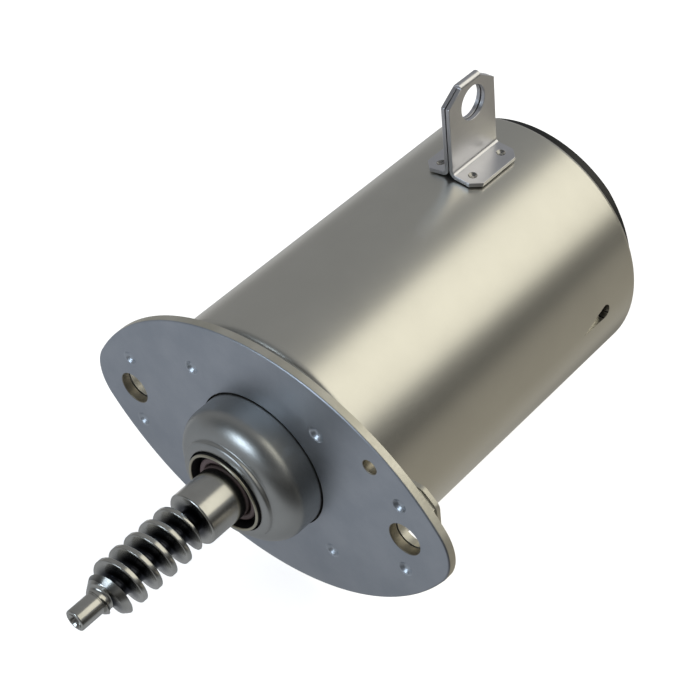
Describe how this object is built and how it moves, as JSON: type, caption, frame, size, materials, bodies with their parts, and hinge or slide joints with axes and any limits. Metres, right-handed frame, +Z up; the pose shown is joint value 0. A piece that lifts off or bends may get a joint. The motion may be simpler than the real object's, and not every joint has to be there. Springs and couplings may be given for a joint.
{
  "type": "variable valve lift motor",
  "caption": "Electric motor with a lens-shaped mounting flange and a right-hand worm on its shaft, which turns the eccentric shaft of a variable valve lift gear",
  "frame": {"origin": "centre of the part's box in X and Y, at the height of the surface that the can and the flange's lower edge lie on", "axes": "+Y along the motor's axis from the worm to the connector, +Z up through the bracket, +X to the right seen from the worm's end"},
  "size_m": [0.1026, 0.1656, 0.0884],
  "materials": {
    "can_steel": "satin zinc-nickel plated steel",
    "plate_zinc": "blue-grey zinc plated steel",
    "bracket_zinc": "satin zinc plated sheet steel",
    "ground_steel": "ground and rolled hardened steel",
    "bearing_steel": "polished bearing steel",
    "seal_brown": "brown seal compound",
    "rubber": "black rubber",
    "laminations": "stacked electrical steel sheet",
    "copper": "bare and enamelled copper",
    "ferrite": "sintered ferrite",
    "carbon": "pressed carbon",
    "brass": "stamped brass",
    "black_plastic": "glass-filled black plastic"
  },
  "bodies": {
    "housing": {"bearing_clip": "bearing_steel", "bearing_outer_ring": "bearing_steel", "bearing_retainer": "bearing_steel", "brush_holder_lower": "brass", "brush_holder_upper": "brass", "brush_plate": "black_plastic", "brush_spring_lower": "bearing_steel", "brush_spring_upper": "bearing_steel", "cap_seal": "rubber", "ear_plate_left": "plate_zinc", "ear_plate_right": "plate_zinc", "end_cap": "black_plastic", "flange_plate": "plate_zinc", "magnet_left": "ferrite", "magnet_right": "ferrite", "motor_can": "can_steel", "plate_screw_left": "bearing_steel", "plate_screw_right": "bearing_steel", "rear_bearing": "brass", "seal_body": "rubber", "seal_case": "plate_zinc", "seal_lip": "seal_brown", "terminal_left": "brass", "terminal_right": "brass", "top_bracket": "bracket_zinc"},
    "rotor": {"worm_shaft": "ground_steel", "bearing_inner_ring": "bearing_steel", "armature_core": "laminations", "armature_winding": "copper", "commutator": "copper"},
    "ball_cage": {"bearing_cage": "brass", "bearing_ball_1": "bearing_steel", "bearing_ball_2": "bearing_steel", "bearing_ball_3": "bearing_steel", "bearing_ball_4": "bearing_steel", "bearing_ball_5": "bearing_steel", "bearing_ball_6": "bearing_steel", "bearing_ball_7": "bearing_steel", "bearing_ball_8": "bearing_steel"},
    "upper_brush": {"brush_upper": "carbon"},
    "lower_brush": {"brush_lower": "carbon"}
  },
  "joints": [
    {"name": "rotor_spin", "type": "hinge", "parent": "housing", "child": "rotor", "pos_m": [0, 0, 0.033], "axis": [0, 1, 0], "continuous": true},
    {"name": "cage_spin", "type": "hinge", "parent": "housing", "child": "ball_cage", "pos_m": [0, 0, 0.033], "axis": [0, 1, 0], "continuous": true},
    {"name": "upper_brush_slide", "type": "slide", "parent": "housing", "child": "upper_brush", "axis": [0, 0, 1], "range_m": [0, 0.0015], "stiffness_N_per_m": 100, "deforming": ["brush_spring_upper"]},
    {"name": "lower_brush_slide", "type": "slide", "parent": "housing", "child": "lower_brush", "axis": [0, 0, -1], "range_m": [0, 0.0015], "stiffness_N_per_m": 100, "deforming": ["brush_spring_lower"]}
  ],
  "couplings": [
    {"joint": "cage_spin", "follows": "rotor_spin", "ratio": 0.39}
  ]
}
